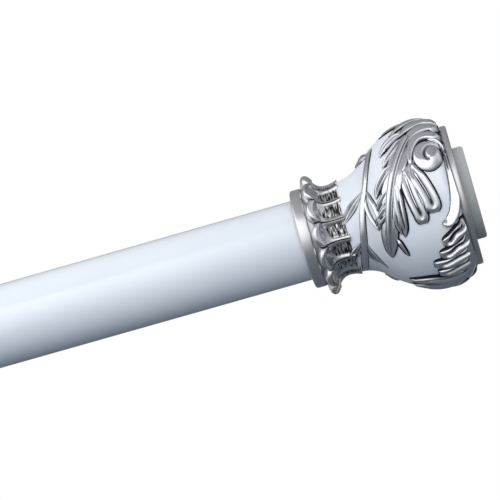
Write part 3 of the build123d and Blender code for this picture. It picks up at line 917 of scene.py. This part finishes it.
def addCamera():
    flange = rodLength - shot["facing"] * mm
    slope = radians(shot["slope"])
    aim = Vector((flange - shot["fromFlange"] * mm, 0, 0))
    aim.z += shot["aboveAxis"] * mm
    eye = Vector((flange, -shot["distance"], 0))
    ahead = (aim - eye).normalized()
    level = ahead.cross(Vector((0, 0, 1))).normalized()
    upward = level.cross(ahead)
    right = level * cos(slope) - upward * sin(slope)
    top = level * sin(slope) + upward * cos(slope)
    turn = Matrix((right, top, -ahead)).transposed()
    lens = bpy.data.cameras.new("photoView")
    lens.angle = 2 * atan(shot["frameWidth"] / 2 / (aim - eye).length)
    lens.clip_start = shot["nearest"]
    camera = bpy.data.objects.new("photoView", lens)
    camera.matrix_world = Matrix.Translation(eye) @ turn.to_4x4()
    bpy.context.scene.collection.objects.link(camera)
    bpy.context.scene.camera = camera
    return aim


# soft lamps, placed in metres from where the camera aims
lamps = {
    "frontSoftbox": {"place": (0.0, -1.25, 0.80), "size": (1.6, 0.8), "power": 10.4, "tone": (1, 1, 1)},
    "leftSoftbox": {"place": (-0.95, -0.85, 0.25), "size": (0.45, 0.9), "power": 1.6, "tone": (1, 1, 1)},
    "backSoftbox": {"place": (0.0, 1.2, 0.75), "size": (1.6, 0.8), "power": 4.5, "tone": (1, 1, 1)},
    "lowFill": {"place": (-0.1, -1.25, -0.45), "size": (1.6, 0.5), "power": 3.9, "tone": (0.62, 0.82, 1.0)},
}


def addSoftbox(name, aim, place, size, power, tone):
    # soft light only: what the rod mirrors is the room
    light = bpy.data.lights.new(name, "AREA")
    light.shape = "RECTANGLE"
    light.size, light.size_y = size
    light.energy = power
    light.color = tone
    lamp = bpy.data.objects.new(name, light)
    spot = aim + Vector(place)
    facing = (aim - spot).to_track_quat("-Z", "Y").to_matrix().to_4x4()
    lamp.matrix_world = Matrix.Translation(spot) @ facing
    lamp.visible_glossy = False
    bpy.context.scene.collection.objects.link(lamp)


# sky, cool, low and high are the soft light from the room, by height
# front and back are its brightness as the rod reflects it, from straight down (0) to straight up (1)
room = {
    "sky": {"From Min": -0.35, "From Max": 0.35, "To Min": 0.20, "To Max": 0.78},
    "cool": {"From Min": -0.6, "From Max": 0.5},
    "low": (0.70, 0.84, 1.0, 1), "high": (0.88, 0.94, 1.0, 1),
    "front": [
        (0.08, 0.03), (0.20, 0.09), (0.34, 0.34), (0.47, 0.88), (0.60, 1.50), (0.864, 1.65), (0.874, 0.44),
        (1.0, 0.38),
    ],
    "back": [(0.28, 0.04), (0.42, 0.42), (0.50, 0.60), (0.60, 0.35), (0.76, 0.25), (1.0, 0.36)],
    "behind": {"From Max": 0.5},
    "side": {"From Min": -0.1, "From Max": 0.9, "To Min": 1.0, "To Max": 0.45},
}


def addRamp(tree, x, y, stops):
    ramp = addNode(tree, "ShaderNodeValToRGB", x, y)
    ramp.color_ramp.interpolation = "EASE"
    while len(ramp.color_ramp.elements) < len(stops):
        ramp.color_ramp.elements.new(1.0)
    for element, (spot, value) in zip(ramp.color_ramp.elements, stops):
        element.position = spot
        element.color = (value, value, value, 1)
    return ramp


def addRange(tree, x, y, values, source, output):
    # a smooth Map Range node fed by one output
    node = addNode(tree, "ShaderNodeMapRange", x, y, interpolation_type="SMOOTHSTEP")
    setInputs(node, values)
    join(tree, source, output, node, "Value")
    return node


def addWorld():
    # white to the camera, a room with a brighter front to the rod's reflections, and a pale sky as soft light
    world = bpy.data.worlds.new("whiteRoom")
    world.use_nodes = True
    tree = world.node_tree
    tree.nodes.clear()
    coords = addNode(tree, "ShaderNodeTexCoord", -1100, 0)
    split = addNode(tree, "ShaderNodeSeparateXYZ", -900, 0)
    join(tree, coords, "Generated", split, "Vector")
    height = addRange(tree, -700, 0, room["sky"], split, "Z")
    cool = addRange(tree, -700, 300, room["cool"], split, "Z")
    tint = addNode(tree, "ShaderNodeMix", -450, 300, data_type="RGBA")
    tint.inputs[mixA].default_value = room["low"]
    tint.inputs[mixB].default_value = room["high"]
    join(tree, cool, "Result", tint, "Factor")
    sky = addNode(tree, "ShaderNodeBackground", -100, 0)
    join(tree, tint, mixOut, sky, "Color")
    join(tree, height, "Result", sky, "Strength")
    level = addNode(tree, "ShaderNodeMapRange", -900, -300)
    level.inputs["From Min"].default_value = -1.0  # straight down
    join(tree, split, "Z", level, "Value")
    front = addRamp(tree, -700, -250, room["front"])
    back = addRamp(tree, -700, -500, room["back"])
    join(tree, level, "Result", front, "Fac")
    join(tree, level, "Result", back, "Fac")
    behind = addRange(tree, -700, -750, room["behind"], split, "Y")
    backdrop = addNode(tree, "ShaderNodeMix", -450, -300)
    join(tree, behind, "Result", backdrop, "Factor")
    join(tree, front, "Color", backdrop, "A")
    join(tree, back, "Color", backdrop, "B")
    side = addRange(tree, -700, -1000, room["side"], split, "X")
    lit = addMath(tree, -300, -600, "MULTIPLY", (backdrop, "Result"), (side, "Result"))
    path = addNode(tree, "ShaderNodeLightPath", -500, 400)
    seen = addMath(tree, -300, -300, "MAXIMUM", (path, "Is Camera Ray"), (lit, "Value"))
    plain = addNode(tree, "ShaderNodeBackground", -100, -200)
    plain.inputs["Color"].default_value = (1, 1, 1, 1)
    join(tree, seen, "Value", plain, "Strength")
    direct = addMath(tree, -300, 300, "MAXIMUM", (path, "Is Camera Ray"), (path, "Is Transmission Ray"))
    either = addMath(tree, -100, 250, "MAXIMUM", (direct, "Value"), (path, "Is Glossy Ray"))
    mix = addNode(tree, "ShaderNodeMixShader", 150, 0)
    join(tree, either, "Value", mix, 0)
    join(tree, sky, "Background", mix, 1)
    join(tree, plain, "Background", mix, 2)
    output = addNode(tree, "ShaderNodeOutputWorld", 350, 0)
    join(tree, mix, "Shader", output, "Surface")
    bpy.context.scene.world = world


floor = {"drop": 0.20, "half": 0.45, "glow": 0.8, "shadow": (0.3, 0.3, 0.3, 1), "mirrored": 0.04}


def makeFloorPaint():
    # near white to the camera, where only the rod's shadow shows
    material = makeCoated("paleFloor", (0.06, 0.072, 0.09), (0.055, 0.066, 0.083), 0.7, 0.8, patch=3)
    tree = material.node_tree
    shader = tree.nodes["Principled BSDF"]
    output = tree.nodes["Material Output"]
    path = addNode(tree, "ShaderNodeLightPath", 300, 400)
    glow = addNode(tree, "ShaderNodeEmission", 300, 200)
    glow.inputs["Strength"].default_value = floor["glow"]
    shaded = addNode(tree, "ShaderNodeBsdfDiffuse", 300, -500)
    shaded.inputs["Color"].default_value = floor["shadow"]
    both = addNode(tree, "ShaderNodeAddShader", 500, 200)
    join(tree, glow, "Emission", both, 0)
    join(tree, shaded, "BSDF", both, 1)
    mix = addNode(tree, "ShaderNodeMixShader", 700, 0)
    direct = addMath(tree, 500, 500, "MAXIMUM", (path, "Is Camera Ray"), (path, "Is Transmission Ray"))
    mirrored = addNode(tree, "ShaderNodeMath", 700, 500, operation="MULTIPLY_ADD")
    mirrored.inputs[1].default_value = floor["mirrored"]
    join(tree, path, "Is Glossy Ray", mirrored, 0)
    join(tree, direct, "Value", mirrored, 2)
    join(tree, mirrored, "Value", mix, 0)
    join(tree, shader, "BSDF", mix, 1)
    join(tree, both, "Shader", mix, 2)
    join(tree, mix, "Shader", output, "Surface")
    return material


def addFloor():
    bm = bmesh.new()
    bmesh.ops.create_grid(bm, x_segments=2, y_segments=2, size=floor["half"])
    bmesh.ops.translate(bm, verts=bm.verts, vec=(rodLength / 2, 0, cadBox[0][2] - floor["drop"]))
    mesh = bpy.data.meshes.new("floor")
    bm.to_mesh(mesh)
    bm.free()
    mesh.materials.append(makeFloorPaint())
    piece = bpy.data.objects.new("floor", mesh)
    bpy.context.scene.collection.objects.link(piece)


aim = addCamera()
for name, settings in lamps.items():
    addSoftbox(name, aim, **settings)
addWorld()
addFloor()
bpy.context.scene.view_settings.view_transform = "Standard"
print("camera, light and floor set")
